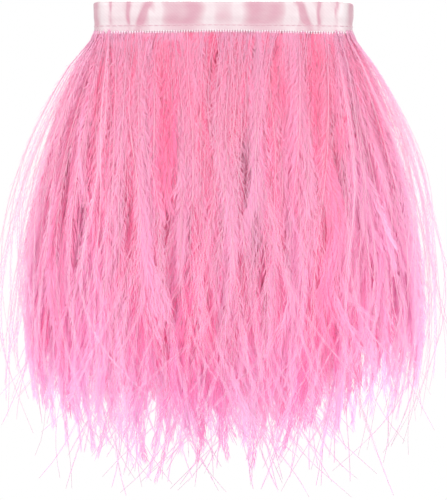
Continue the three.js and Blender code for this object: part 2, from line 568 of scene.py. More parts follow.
@dataclass(frozen=True)
class QuillFinish:
    """Horny quill: waxy, slightly see-through and paler than the flues."""

    pale: tuple = display_colour(250, 196, 214)
    dyed: tuple = display_colour(238, 140, 176)
    grain_scale: float = 900.0
    bump_depth: float = 0.04 * MM

    def material(self) -> bpy.types.Material:
        """Build the quills' material.

        Returns:
            The material.
        """
        bench = NodeBench("quill")
        shader = bench.add(
            "ShaderNodeBsdfPrincipled", Roughness=0.42, Subsurface_Weight=0.15,
            Subsurface_Scale=0.6 * MM, Coat_Weight=0.2,
        )
        place = bench.add("ShaderNodeTexCoord")
        grain = bench.add("ShaderNodeTexNoise", Scale=self.grain_scale, Detail=3.0)
        bench.join(place.outputs["Object"], grain.inputs["Vector"])
        colour = bench.ramp(grain.outputs["Fac"], {0.35: self.dyed, 0.65: self.pale})
        bench.join(colour, shader.inputs["Base Color"])
        bumped = bench.bump(grain.outputs["Fac"], 0.3, self.bump_depth)
        bench.join(bumped, shader.inputs["Normal"])
        return bench.surface(shader)


@dataclass
class Finishes:
    """The materials of the whole trim, built once."""

    satin: bpy.types.Material = field(default_factory=lambda: SatinFinish().material())
    plume: bpy.types.Material = field(default_factory=lambda: PlumeFinish().material())
    quill: bpy.types.Material = field(default_factory=lambda: QuillFinish().material())
    thread: bpy.types.Material = field(
        default_factory=lambda: YarnFinish(
            "thread", display_colour(222, 176, 190), display_colour(168, 122, 138), 0.35 * MM, 0.5
        ).material()
    )
    picot: bpy.types.Material = field(
        default_factory=lambda: YarnFinish(
            "picot", display_colour(255, 250, 252), display_colour(240, 214, 224), 0.3 * MM
        ).material()
    )
    cotton: bpy.types.Material = field(
        default_factory=lambda: YarnFinish(
            "cotton", display_colour(250, 232, 236), display_colour(226, 190, 200), 0.9 * MM, 0.9
        ).material()
    )


# ---------------------------------------------------------------- the winding


@dataclass
class Winding:
    """The line that the folded ribbon's middle follows in plan, from its inner end.

    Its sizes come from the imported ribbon's box and these of its own.
    """

    turns: int = 3
    inner_bend: float = 1.5 * MM
    band_half: float = 1.3 * MM

    def __post_init__(self) -> None:
        """Work out the loop from the ribbon's box."""
        low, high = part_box("satin_ribbon")
        self.top = high.z
        self.edge = low.z
        self.middle_y = (low.y + high.y) / 2
        self.outer_bend = (high.y - low.y) / 2 - self.band_half
        self.half_run = high.x - self.outer_bend - self.band_half
        self.pitch = (self.outer_bend - self.inner_bend) / (self.turns - 1)
        self.stretches = self._stretches()
        self.length = sum(length for length, *_ in self.stretches)

    def _stretches(self) -> list[tuple]:
        """Lay out the straights and bends, from the inner end outwards.

        Returns:
            Each one's length, its centre or start in x and y, its radius and its first angle.
        """
        found = []
        run = 2 * self.half_run
        left_y = -self.pitch / 2
        for turn in range(self.turns):
            radius = self.inner_bend + turn * self.pitch
            if turn:
                smaller = radius - self.pitch / 2
                found.append((math.pi * smaller, -self.half_run, left_y, smaller, math.pi / 2))
            found.append((run, -self.half_run, -radius, 0.0, -math.pi / 2))
            found.append((math.pi * radius, self.half_run, 0.0, radius, -math.pi / 2))
            found.append((run, self.half_run, radius, 0.0, math.pi / 2))
        return found

    def outer_front(self) -> tuple[float, float]:
        """Where the front run of the outer turn starts and ends along the ribbon."""
        before = sum(length for length, *_ in self.stretches[:-3])
        return before, before + 2 * self.half_run

    def along(self, where: np.ndarray) -> tuple[np.ndarray, np.ndarray]:
        """Places along the winding.

        Args:
            where: Distances from the inner end, in metres.

        Returns:
            The points on the line in plan, and the outward directions there.
        """
        points = np.zeros((len(where), 2))
        outward = np.zeros((len(where), 2))
        start = 0.0
        for length, x, y, radius, angle in self.stretches:
            here = (where >= start - 1e-9) & (where <= start + length + 1e-9)
            part = where[here] - start
            if radius:
                turned = angle + part / radius
                normal = np.stack([np.cos(turned), np.sin(turned)], 1)
                points[here] = np.array([x, y]) + radius * normal
            else:
                normal = np.tile([math.cos(angle), math.sin(angle)], (len(part), 1))
                way = np.array([-math.sin(angle), math.cos(angle)])
                points[here] = np.array([x, y]) + part[:, None] * way
            outward[here] = normal
            start += length
        points[:, 1] += self.middle_y
        return points, outward

    def spots(
        self, pitch: float, inset: float = 0.0
    ) -> tuple[np.ndarray, np.ndarray, np.ndarray]:
        """Evenly spaced places along the ribbon.

        Args:
            pitch: The spacing.
            inset: How far from the ribbon's ends to stay.

        Returns:
            The distances, the points in plan and the outward directions.
        """
        count = int((self.length - 2 * inset) / pitch)
        where = inset + pitch * (np.arange(count) + 0.5)
        return (where, *self.along(where))


# ---------------------------------------------------------------- the header


@dataclass(frozen=True)
class Crease:
    """A soft fold across the band: its place along the run, its lean, width and height.

    Low is how much more of it there is at the bottom than at the top, from -1 to 1.
    """

    at: float
    lean: float
    width: float
    height: float
    low: float = 0.0


@dataclass
class Header:
    """The folded ribbon with what is sewn on it and what it holds."""

    winding: Winding
    finishes: Finishes
    ribbon_width: float = 25.4 * MM
    cloth: float = 0.22 * MM
    band_out: float = 1.1 * MM
    seam_out: float = 0.7 * MM
    seam_drop: float = 9.5 * MM
    fold_round: float = 1.3 * MM
    fold_drop: float = 0.8 * MM
    press_run: float = 3.0 * MM
    pressed_flat: float = 0.85
    pinch_run: float = 3.2 * MM
    pinch_above: float = 3.6 * MM
    flare: float = 0.08 * MM
    ripple: float = 0.07 * MM
    drape: float = 0.12 * MM
    picot_pitch: float = 1.0 * MM
    picot_drop: float = 0.6 * MM
    picot_loop: float = 0.27 * MM
    picot_yarn: float = 0.16 * MM
    picot_out: float = 0.28 * MM
    picot_rise: float = 0.45 * MM
    edge_drop: float = 12.6 * MM
    stitch_pitch: float = 2.3 * MM
    stitch_share: float = 0.86
    thread: float = 0.26 * MM
    string_radius: float = 0.42 * MM
    ply_pitch: float = 3.2 * MM
    quill_pitch: float = 1.05 * MM
    quill_foot: float = 0.2 * MM
    quill_head: float = 0.3 * MM
    quill_sway: float = 0.25 * MM
    end_inset: float = 1.0 * MM
    arch: float = 0.8 * MM
    creases: tuple[Crease, ...] = (
        Crease(0.9 * MM, 0.02, 1.3 * MM, -0.26 * MM),
        Crease(4.6 * MM, 0.04, 1.9 * MM, 0.20 * MM),
        Crease(6.9 * MM, 0.05, 0.45 * MM, -0.30 * MM, -0.5),
        Crease(10.2 * MM, 0.0, 2.7 * MM, 0.18 * MM),
        Crease(13.8 * MM, 0.03, 0.7 * MM, -0.36 * MM),
        Crease(16.5 * MM, -0.25, 1.8 * MM, 0.24 * MM),
        Crease(19.9 * MM, -0.40, 1.6 * MM, -0.34 * MM),
        Crease(22.4 * MM, 0.15, 1.1 * MM, 0.22 * MM, 1.0),
        Crease(25.4 * MM, 0.05, 1.6 * MM, 0.24 * MM),
        Crease(31.0 * MM, 0.25, 3.6 * MM, -0.12 * MM),
        Crease(38.5 * MM, -0.12, 3.8 * MM, -0.17 * MM),
        Crease(45.0 * MM, 0.06, 2.4 * MM, 0.22 * MM),
    )

    def build(self) -> list[bpy.types.Object]:
        """Build and dress the whole header.

        Returns:
            Its pieces.
        """
        ribbon = self.ribbon()
        picots = self.picots()
        needle = self.stitches("needle_stitches", "needle_thread", 1.0)
        bobbin = self.stitches("bobbin_stitches", "bobbin_thread", -1.0)
        return [ribbon, picots, needle, bobbin, self.string(), self.quills()]

    def dress(
        self, piece: bpy.types.Object, material: bpy.types.Material, slot: str, *nodes: str
    ) -> bpy.types.Object:
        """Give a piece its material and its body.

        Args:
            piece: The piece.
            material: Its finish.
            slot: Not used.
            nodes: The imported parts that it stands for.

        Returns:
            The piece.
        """
        piece.data.materials.clear()
        piece.data.materials.append(material)
        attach(piece, "header")
        if nodes:
            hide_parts(*nodes)
        return piece

    def leaf_out(self, drop: np.ndarray) -> np.ndarray:
        """How far each leaf stands from the fold's middle: puffed out, then held by the seam.

        Args:
            drop: Distances below the top.

        Returns:
            The distances, in metres.
        """
        pinch = np.clip((drop - (self.seam_drop - self.pinch_above)) / self.pinch_run, 0, 1)
        opens = np.clip((drop - self.seam_drop - 1 * MM) / (2 * MM), 0, 1)
        return self.band_out + (self.seam_out - self.band_out) * ease(pinch) + opens * self.flare

    def wrinkles(self, where: np.ndarray, drop: np.ndarray, plan: np.ndarray) -> np.ndarray:
        """How far the outer leaf is pushed out by its creases.

        Args:
            where: Distances along the ribbon.
            drop: Distances below the top.
            plan: The outer leaf's points in plan.

        Returns:
            The offsets, outwards, in metres.
        """
        low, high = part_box("satin_ribbon")
        from_end = np.minimum(plan[:, 0] - low.x, high.x - plan[:, 0])
        start, end = self.winding.outer_front()
        round_bend = math.pi / 2 * self.winding.outer_bend
        on_front = (where > start - round_bend) & (where < end + round_bend)
        pushed = np.zeros_like(where)
        for crease in self.creases:
            wander = 0.3 * MM * np.sin(drop / (1.5 * MM) + crease.at / (1.1 * MM) + where * 50)
            centre = crease.at + crease.lean * (drop - self.seam_drop / 2) + wander
            reach = np.abs(from_end - centre) / crease.width
            share = np.clip(1 + crease.low * (2 * drop / self.seam_drop - 1), 0, 1.6)
            pushed += crease.height * np.exp(-(reach**2.2)) * share
        slant = np.sin(drop / (1.9 * MM) + where / (5 * MM))
        ripple = self.ripple * np.sin(where / (2.3 * MM)) * slant
        drape = self.drape * np.sin(where / (7.1 * MM) + 1.3) * np.sin(drop / (4 * MM))
        return np.where(on_front, pushed + 0.5 * ripple, ripple + drape)

    def ribbon(self) -> bpy.types.Object:
        """Fold and wind the flat ribbon.

        Returns:
            The cloth.
        """
        steps_along, steps_across = 900, 44
        deselect_all()
        bpy.ops.mesh.primitive_grid_add(
            x_subdivisions=steps_along, y_subdivisions=steps_across, size=1
        )
        piece = take("satin_ribbon_cloth")
        flat = points_of(piece)
        where = (flat[:, 0] + 0.5) * self.winding.length
        across = flat[:, 1] * self.ribbon_width
        leaf = np.sign(across)
        drop = np.abs(across)
        quarter = math.pi / 2 * np.clip(drop / self.fold_round, 0, 1)
        open_out = self.leaf_out(drop)
        # The cut ends of the fold are pressed flatter than its run.
        from_cut = np.minimum(where, self.winding.length - where)
        pressed = self.pressed_flat * (1 - np.clip(from_cut / self.press_run, 0, 1)) ** 1.5
        out = leaf * (open_out + (self.seam_out - open_out) * pressed) * np.sin(quarter)
        below = np.maximum(drop - self.fold_round, 0)
        height = -self.cloth / 2 - self.fold_drop * (1 - np.cos(quarter)) - below
        height *= (self.winding.top - self.winding.edge - self.picot_drop) / -height.min()
        plan, outward = self.winding.along(where)
        pushed = self.wrinkles(where, drop, plan + self.band_out * outward)
        fades = np.sin(np.clip(drop / self.seam_drop, 0, 1) * math.pi) ** 0.6
        out += np.where(across > 0, 0.8 * pushed * fades, 0)
        height += self.edge_lift(where) * (drop / drop.max()) ** 2
        place = plan + out[:, None] * outward
        place_points(piece, np.column_stack([place, self.winding.top + height]))
        cloth_map = piece.data.uv_layers.new(name="cloth")
        corners = np.empty(len(piece.data.loops), np.int32)
        piece.data.loops.foreach_get("vertex_index", corners)
        cloth_map.uv.foreach_set(
            "vector", np.column_stack([where, across])[corners].astype(np.float32).ravel()
        )
        # Painted sheen and shade: the satin's colour is made lighter where a crease pushes it out
        # and darker where one sinks in, less so below the seam.
        painted_sheen = piece.data.attributes.new("painted_sheen", "FLOAT", "POINT")
        below_seam = np.clip((drop - self.seam_drop) / (0.4 * MM), 0, 1)
        painted_sheen_level = 0.5 + pushed * (1 - 0.6 * below_seam) / (0.5 * MM) + 0.06 * below_seam
        painted_sheen.data.foreach_set("value", painted_sheen_level.astype(np.float32))
        apply_modifier(piece, "SOLIDIFY", thickness=self.cloth, offset=0.0)
        shade_smooth(piece)
        return self.dress(piece, self.finishes.satin, "satin", "satin_ribbon")

    def upright_frames(self, outward: np.ndarray) -> np.ndarray:
        """Axes for copies on the ribbon: along it, outwards and up.

        Args:
            outward: The outward direction at each copy.

        Returns:
            One 3x3 matrix for each copy.
        """
        zeros = np.zeros(len(outward))
        out = np.column_stack([outward, zeros])
        along = np.column_stack([-outward[:, 1], outward[:, 0], zeros])
        up = np.tile([0.0, 0.0, 1.0], (len(outward), 1))
        return np.stack([along, out, up], 2)

    def edge_lift(self, where: np.ndarray) -> np.ndarray:
        """How far the arch lifts the lower edge at each place along the ribbon."""
        start, end = self.winding.outer_front()
        return self.arch * np.sin(math.pi * np.clip((where - start) / (end - start), 0, 1))

    def picots(self) -> bpy.types.Object:
        """Set woven loops along both selvedges.

        Returns:
            The piece.
        """
        deselect_all()
        bpy.ops.mesh.primitive_torus_add(
            major_segments=8, minor_segments=4,
            major_radius=self.picot_loop, minor_radius=self.picot_yarn,
            rotation=(math.pi / 2, 0, 0),
        )
        loop = take("picot")
        bpy.ops.object.transform_apply(rotation=True)
        stretch_all((0.6, 0.9, 1.5))
        where, plan, outward = self.winding.spots(self.picot_pitch, self.picot_pitch)
        frames = self.upright_frames(outward)
        sway = 0.06 * MM * np.sin(where / (3.1 * MM))
        heights = self.winding.edge + self.picot_rise + self.edge_lift(where)
        rows = []
        for leaf in (1.0, -1.0):
            out = leaf * (self.leaf_out(np.array([self.edge_drop])) + self.picot_out)
            rows.append(np.column_stack([plan + (out + sway[:, None]) * outward, heights]))
        piece = copies_piece(
            "selvedge_picots", loop, np.concatenate([frames, frames]), np.concatenate(rows)
        )
        shade_smooth(piece)
        return self.dress(piece, self.finishes.picot, "satin")

    def stitches(self, name: str, node: str, leaf: float) -> bpy.types.Object:
        """One thread's row of lockstitches.

        Args:
            name: The piece's name.
            node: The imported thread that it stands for.
            leaf: 1 for the outer face, -1 for the inner one.

        Returns:
            The piece.
        """
        deselect_all()
        bpy.ops.mesh.primitive_cylinder_add(
            vertices=6, radius=self.thread / 2, depth=self.stitch_pitch * self.stitch_share,
            rotation=(0, math.pi / 2, 0), end_fill_type="TRIFAN",
        )
        stitch = take("stitch")
        bpy.ops.object.transform_apply(rotation=True)
        bpy.ops.object.mode_set(mode="EDIT")
        bpy.ops.mesh.select_all(action="SELECT")
        bpy.ops.mesh.subdivide(number_cuts=2)
        bpy.ops.object.mode_set(mode="OBJECT")
        shape = points_of(stitch)
        reach = np.abs(shape[:, 0]) / (self.stitch_pitch * self.stitch_share / 2)
        shape[:, 1] -= self.thread * 0.9 * reach**3
        shape[:, 1:] *= (1 - 0.25 * reach**2)[:, None]
        place_points(stitch, shape)
        where, plan, outward = self.winding.spots(self.stitch_pitch, self.end_inset)
        frames = self.upright_frames(outward * leaf)
        out = leaf * (self.seam_out + self.cloth / 2 + self.thread * 0.35)
        height = np.full(len(where), self.winding.top - self.seam_drop)
        height += self.edge_lift(where) * 0.5 + 0.05 * MM * np.sin(where / (6 * MM))
        piece = copies_piece(name, stitch, frames, np.column_stack([plan + out * outward, height]))
        shade_smooth(piece)
        return self.dress(piece, self.finishes.thread, "thread", node)

    def string(self) -> bpy.types.Object:
        """Twist the two-ply string along the top of the quills.

        Returns:
            The piece.
        """
        sides, step = 8, 0.8 * MM
        where, plan, outward = self.winding.spots(step, self.end_inset / 2)
        low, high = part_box("heading_string")
        turned = 2 * math.pi * where[:, None] / self.ply_pitch
        angle = np.linspace(0, 2 * math.pi, sides, endpoint=False)[None, :]
        reach = self.string_radius * (0.72 + 0.28 * np.cos(2 * (angle - turned)))
        out, up = reach * np.cos(angle), reach * np.sin(angle)
        place = plan[:, None, :] + out[:, :, None] * outward[:, None, :]
        points = np.dstack([place, (low.z + high.z) / 2 + up]).reshape(-1, 3)
        rings = np.arange(len(where) - 1)[:, None] * sides
        side = np.arange(sides)[None, :]
        beside = (side + 1) % sides
        quads = np.stack(
            [rings + side, rings + side + sides, rings + beside + sides, rings + beside], 2
        ).reshape(-1, 4)
        last = (len(where) - 1) * sides
        caps = np.concatenate([np.arange(sides), last + np.arange(sides)[::-1]])
        piece = mesh_piece(
            "heading_string_ply", points, np.concatenate([quads.ravel(), caps]),
            np.concatenate([np.full(len(quads), 4), [sides, sides]]),
        )
        shade_smooth(piece)
        return self.dress(piece, self.finishes.cotton, "cotton", "heading_string")

    def quills(self) -> bpy.types.Object:
        """Set the quill ends side by side in the fold.

        Returns:
            The piece.
        """
        low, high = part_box("quill_row")
        deselect_all()
        bpy.ops.mesh.primitive_cone_add(
            vertices=6, radius1=self.quill_foot, radius2=self.quill_head,
            depth=high.z - low.z, end_fill_type="NGON",
        )
        quill = take("quill")
        stretch_all((1.3, 0.8, 1.0))
        where, plan, outward = self.winding.spots(self.quill_pitch, self.end_inset)
        frames = self.upright_frames(outward)
        height = (low.z + high.z) / 2 + self.quill_sway * np.sin(where / (1.7 * MM))
        piece = copies_piece("quill_ends", quill, frames, np.column_stack([plan, height]))
        shade_smooth(piece)
        return self.dress(piece, self.finishes.quill, "quill", "quill_row")


# ---------------------------------------------------------------- the plumes


@dataclass
class Swell:
    """How the hanging fringe swells out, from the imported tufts' boxes."""

    winding: Winding
    widest_at: float = 0.6
    head_half: float = 0.45 * MM

    def __post_init__(self) -> None:
        """Work out each row's greatest swell from the boxes."""
        wind = self.winding
        lowest = min(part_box(name)[0].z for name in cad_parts)
        self.length = wind.edge - lowest
        reach = {
            row: wind.middle_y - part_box(f"front_{row}tuft_1")[0].y
            for row in ("", "middle_", "core_")
        }
        self.outer = reach[""] - wind.outer_bend - self.head_half
        self.middle = reach["middle_"] - (wind.outer_bend - wind.pitch) - self.head_half
        self.core = reach["core_"] - wind.inner_bend - self.head_half

    def share(self, depth: np.ndarray) -> np.ndarray:
        """How far the fringe has swollen at a depth below the ribbon, from 0 to 1."""
        turned = math.pi * depth / (2 * self.widest_at * self.length)
        return np.sin(np.clip(turned, 0, 0.93 * math.pi))

    def limits(self, row: str, depth: np.ndarray) -> tuple[np.ndarray, np.ndarray]:
        """The inner and outer radius of a row of tufts.

        Args:
            row: "outer", "middle" or "core".
            depth: Depths below the ribbon.

        Returns:
            The two radii, measured from the loop's middle.
        """
        wind = self.winding
        share = self.share(depth)
        if row == "outer":
            base, inner, outer = wind.outer_bend, self.middle, self.outer
        elif row == "middle":
            base, inner, outer = wind.outer_bend - wind.pitch, self.core, self.middle
        else:
            base, inner, outer = wind.inner_bend, 0.0, self.core
        return base - self.head_half + inner * share, base + self.head_half + outer * share


@dataclass
class Cell:
    """The space of one tuft, in shares across and outwards."""

    swell: Swell
    row: str
    side: Side
    start: float
    end: float

    def fullness(self, across: np.ndarray) -> np.ndarray:
        """How far out the tuft is packed: less at the sides, where a bend's tuft is thin.

        Args:
            across: Shares across the cell.

        Returns:
            The shares outwards.
        """
        if self.side in (Side.FRONT, Side.BACK):
            return np.full_like(across, 0.6)
        angle = self.start + (self.end - self.start) * across
        return 0.2 + 0.4 * np.sin(angle) ** 2

    def width_at_top(self) -> float:
        """How much of the ribbon the tuft takes.

        Returns:
            The width, in metres.
        """
        if self.side in (Side.FRONT, Side.BACK):
            return self.end - self.start
        return (self.end - self.start) * self.swell.winding.outer_bend

    def plan(
        self, depth: np.ndarray, across: np.ndarray, outward: np.ndarray
    ) -> tuple[np.ndarray, np.ndarray]:
        """Places in plan.

        Args:
            depth: Depths below the ribbon.
            across: Shares across the cell.
            outward: Shares outwards.

        Returns:
            The points, and the outward directions there.
        """
        wind = self.swell.winding
        inner, outer = self.swell.limits(self.row, depth)
        if self.side in (Side.FRONT, Side.BACK):
            sign = -1.0 if self.side is Side.FRONT else 1.0
            x = self.start + (self.end - self.start) * across
            out = inner + (outer - inner) * outward
            points = np.stack([x, wind.middle_y + sign * out], -1)
            normal = np.zeros_like(points)
            normal[..., 1] = sign
            return points, normal
        sign = -1.0 if self.side is Side.LEFT else 1.0
        offset = wind.pitch / 2 if self.side is Side.LEFT else 0.0
        if self.row == "middle":
            inner = np.full_like(outer, wind.inner_bend)
        radius = np.maximum(inner + (outer - inner) * outward - offset, 0.3 * MM)
        angle = self.start + (self.end - self.start) * across
        normal = np.stack([sign * np.cos(angle), np.sin(angle)], -1)
        middle = np.array([sign * wind.half_run, wind.middle_y - offset])
        return middle + radius[..., None] * normal, normal


@dataclass
class Flues:
    """One tuft's flues: thin ribs, each with two rows of fine barbs, drooping to a soft point.

    Lengths are in metres, angles in radians, and ends are shares of the fringe's full length.
    """

    cell: Cell
    name: str
    count: int
    seed: int
    barb: float = 8.5 * MM
    barb_pitch: float = 0.8 * MM
    barb_width: float = 0.36 * MM
    barb_lengths: tuple[float, float] = (0.65, 1.2)
    barb_widths: tuple[float, float] = (0.7, 1.25)
    barb_bend: float = 0.45
    rib: float = 0.11 * MM
    rib_taper: float = 0.62
    rib_at_root: float = 0.7
    stray_rib: float = 1.5
    bare_root: float = 0.3 * MM
    stations: int = 30
    short_share: float = 0.42
    stray_share: float = 0.2
    usual_end: float = 0.77
    usual_spread: float = 0.27
    early_ends: tuple[float, float] = (0.22, 0.76)
    late_ends: tuple[float, float] = (0.8, 1.1)
    own_length: tuple[float, float] = (0.9, 1.05)
    paler_strays: tuple[float, float] = (0.55, 1.0)
    bunch: float = 2.8 * MM
    lock: int = 7
    lock_width: float = 6.5 * MM
    cling: float = 0.3
    freedom: float = 0.6
    sway: float = 0.14
    sway_waves: tuple[float, float] = (1.6, 4.2)
    nod: float = 0.075
    nod_waves: tuple[float, float] = (2.0, 5.0)
    most_lift: float = 4.2 * MM
    curl_from: float = 0.62
    curl: float = 2.4
    flare: float = 4 * MM
    tone_and_painted_light: float = 0.5
    twist: float = 0.22
    lean: float = 0.19
    tucked: float = 2.6 * MM
    full_by: float = 20 * MM
    opened: float = 0.55
    stray_barb: float = 0.8
    paling: float = 1.0
    reach: float = 1.0

    def build(self, finishes: Finishes) -> bpy.types.Object:
        """Grow the flues and dress the piece.

        Args:
            finishes: The materials.

        Returns:
            The tuft.
        """
        self.rng = np.random.default_rng(self.seed)
        self._choose()
        self._centre_lines()
        parts = [self._ribs(), self._barbs()]
        points = np.concatenate([part[0] for part in parts])
        maps = np.concatenate([part[1] for part in parts])
        corners = np.concatenate([parts[0][2], parts[1][2] + len(parts[0][0])]).ravel()
        piece = mesh_piece(f"plumes_{self.name}", points, corners, np.full(len(corners) // 4, 4))
        for layer in ("strand", "OFBake"):
            uv = piece.data.uv_layers.new(name=layer, do_init=False)
            uv.uv.foreach_set("vector", maps[corners].astype(np.float32).ravel())
        shade_smooth(piece)
        piece.data.materials.append(finishes.plume)
        return piece

    def _choose(self) -> None:
        """Pick each flue's place, length and shade, and the lock that it clings to."""
        rng, count = self.rng, self.count
        # A lock is a few flues that cling together. It sits in the cell, and its flues round it.
        locks = max(count // self.lock, 2)
        self.mine = np.arange(count) % locks
        centres = (np.arange(locks) + rng.uniform(0.1, 0.9, locks)) / locks
        rng.shuffle(centres)
        self.centre = centres[self.mine]
        span = self.lock_width / self.cell.width_at_top()
        spread = np.abs(self.centre + span * rng.uniform(-0.5, 0.5, count))
        self.across = 1 - np.abs(1 - spread)
        packed = self.cell.fullness(self.across)
        depths = rng.uniform(size=locks)[self.mine] + rng.uniform(-0.1, 0.1, count)
        self.outward = 0.05 + (packed - 0.05) * np.clip(depths, 0, 1)
        self.is_stray = rng.uniform(size=count) > 1 - self.stray_share
        self.is_short = (rng.uniform(size=locks) < self.short_share)[self.mine] & ~self.is_stray
        # Usual flues end near the fringe's hem, early ones anywhere above it and strays past it.
        full = self.cell.swell.length * self.reach * (0.84 + 0.16 * packed / 0.6)
        own = rng.uniform(*self.own_length, count)
        usual = (self.usual_end + self.usual_spread * rng.beta(1.6, 2.2, locks))[self.mine] * own
        early = rng.uniform(*self.early_ends, locks)[self.mine] * own
        late = rng.uniform(*self.late_ends, count)
        self.length = full * np.where(self.is_short, early, np.where(self.is_stray, late, usual))
        # Short flues lie on top of the rest, and strays fly out of the cell.
        near = packed + rng.uniform(-0.1, 0.15, count)
        loose = packed - 0.1 + (1.0 - packed) * rng.uniform(size=count)
        self.outward = np.where(self.is_short, near, np.where(self.is_stray, loose, self.outward))
        # Each lock's shade is its own tone round the tuft's level, and that level holds painted
        # shade for the inner rows and painted light round the bends.
        shade = rng.normal(self.tone_and_painted_light, 0.26, locks)[self.mine] + rng.normal(0, 0.08, count)
        self.shade = np.clip(shade, 0.12, 1.0)
        self.shade[self.is_stray] = rng.uniform(*self.paler_strays, self.is_stray.sum())

    def _waves(self, spread: float, waves: tuple[float, float], count: int) -> np.ndarray:
        """Leans at each station that wave and drift more and more towards the tip.

        Args:
            spread: The usual lean at the tip, in radians.
            waves: The fewest and most half waves over the length.
            count: How many rows of leans.

        Returns:
            The leans, in radians.
        """
        rng, along = self.rng, self.along[:1]
        wave = rng.uniform(*waves, (count, 1)) * math.pi
        phase = rng.uniform(0, 2 * math.pi, (count, 1))
        swing = rng.normal(0, spread, (count, 1)) * along**0.6 * np.sin(wave * along + phase)
        return swing + rng.normal(0, spread, (count, 1)) * along**2

    def _heading(self, spread: float, waves: tuple[float, float]) -> np.ndarray:
        """How far each flue's line leans: with its lock, a little by itself, and a curled tip.

        Args:
            spread: The usual lean at the tip, in radians.
            waves: The fewest and most half waves over the length.

        Returns:
            The leans, in radians.
        """
        shared = self._waves(spread, waves, self.mine.max() + 1)[self.mine]
        own = self._waves(spread * self.freedom, waves, self.count)
        curl = self.rng.normal(0, self.curl * spread, (self.count, 1))
        curl = curl * np.clip(self.along - self.curl_from, 0, 1) / (1 - self.curl_from)
        stray = self.is_stray[:, None]
        return shared + own * np.where(stray, 2, 1) + curl * np.where(stray, 1.0, 0.2)

    def _centre_lines(self) -> None:
        """Lay each flue's rib: down, out with the swell, in long gentle waves."""
        rng, count, steps = self.rng, self.count, self.stations
        self.along = np.repeat(np.linspace(0, 1, steps)[None, :], count, 0)
        depth = self.length[:, None] * self.along * (1 - 0.05 * self.along)
        self.depth = depth
        step = self.length[:, None] / (steps - 1)
        heading = np.clip(self._heading(self.sway, self.sway_waves), -0.8, 0.8)
        sideways = np.cumsum(np.tan(heading), 1) * step
        lean = rng.normal(0, self.lean, self.mine.max() + 1)[self.mine]
        lean += rng.normal(0, 0.4 * self.lean, count)
        sideways += lean[:, None] * depth * np.exp(-depth / (32 * MM))
        heading = np.clip(self._heading(self.nod, self.nod_waves), -0.3, 0.3)
        lift = np.cumsum(np.tan(heading), 1) * step
        lift = self.most_lift * np.tanh(lift / self.most_lift)
        packed = self.cell.fullness(self.across)
        flare = np.where(self.is_stray, rng.uniform(0, 1, count), rng.uniform(-0.1, 0.25, count))
        lift += self.flare * flare[:, None] * np.sin(math.pi * self.along**0.7)
        lift *= np.clip((depth - self.tucked) / (10 * MM), 0, 1)
        outer = (self.outward > packed / 2)[:, None]
        lift += 0.6 * MM * np.clip((depth - self.tucked) / (2 * MM), 0, 1) * outer
        # The flues leave the seam in narrow bunches, and each lock draws together further down.
        bunches = max(round(self.cell.width_at_top() / self.bunch), 2)
        edges = (np.arange(bunches + 1) + rng.uniform(-0.35, 0.35, bunches + 1)) / bunches
        edges[0], edges[-1] = 0.0, 1.0
        mine = np.clip(np.searchsorted(edges, self.across) - 1, 0, bunches - 1)
        middle = (edges[mine] + edges[mine + 1]) / 2
        share = 0.8 + 0.2 * ease(np.clip(depth / (16 * MM), 0, 1))
        across = middle[:, None] + (self.across - middle)[:, None] * share
        drawn = self.cling * ease(np.clip((depth - 8 * MM) / (70 * MM), 0, 1))
        drawn = drawn * ~self.is_stray[:, None]
        across += (self.centre[:, None] - across) * drawn
        outward = np.repeat(self.outward[:, None], steps, 1)
        plan, normal = self.cell.plan(np.maximum(depth - self.tucked, 0), across, outward)
        tangent = np.stack([-normal[..., 1], normal[..., 0]], -1)
        plan = plan + sideways[..., None] * tangent + lift[..., None] * normal
        root = self.cell.swell.winding.edge + self.tucked
        self.line = np.concatenate([plan, (root - depth)[..., None]], -1)
        flow = np.gradient(self.line, axis=1)
        self.flow = flow / np.linalg.norm(flow, axis=-1, keepdims=True)
        self.out = np.concatenate([normal, np.zeros((count, steps, 1))], -1)
        # Each flue's vane turns a little about its rib, and more towards the tip.
        across_way = np.cross(self.flow, self.out)
        across_way /= np.linalg.norm(across_way, axis=-1, keepdims=True)
        face = np.cross(across_way, self.flow)
        turn = rng.normal(0, self.twist, (count, 1)) * np.clip(depth / (8 * MM), 0.2, 1)
        turn += rng.normal(0, 0.4, (count, 1)) * self.along
        cos, sin = np.cos(turn)[..., None], np.sin(turn)[..., None]
        self.side = across_way * cos + face * sin
        self.face = face * cos - across_way * sin

    def _rise(self, depth: np.ndarray) -> np.ndarray:
        """The map's upward place for a depth below the ribbon."""
        return np.clip(self.paling * depth / (1.06 * self.cell.swell.length), 0, 1)

    def _ribs(self) -> tuple[np.ndarray, np.ndarray, np.ndarray]:
        """Make the three-sided tapering ribs.

        Returns:
            Their points, map places and quads.
        """
        stout = np.where(self.is_stray, self.stray_rib, 1.0)[:, None]
        near_root = self.rib_at_root * np.exp(-self.depth / (5 * MM))
        thick = (self.rib * stout * (1 - self.rib_taper * self.along + near_root))[..., None]
        ring = []
        for turn in (0.5, 7 / 6, 11 / 6):
            angle = math.pi * turn
            way = math.cos(angle) * self.side + math.sin(angle) * self.face
            ring.append(self.line + thick * way)
        points = np.stack(ring, 2)
        count, steps = self.count, self.stations
        shade = np.full((count, steps, 3), 0.05)
        maps = np.stack([shade, np.repeat(self._rise(self.depth)[..., None], 3, 2)], -1)
        start = (np.arange(count) * steps * 3)[:, None, None]
        level = (np.arange(steps - 1) * 3)[None, :, None]
        here = np.arange(3)[None, None, :]
        beside = (here + 1) % 3
        quads = np.stack(
            [
                start + level + here, start + level + beside,
                start + level + beside + 3, start + level + here + 3,
            ],
            -1,
        )
        return points.reshape(-1, 3), maps.reshape(-1, 2), quads.reshape(-1, 4)

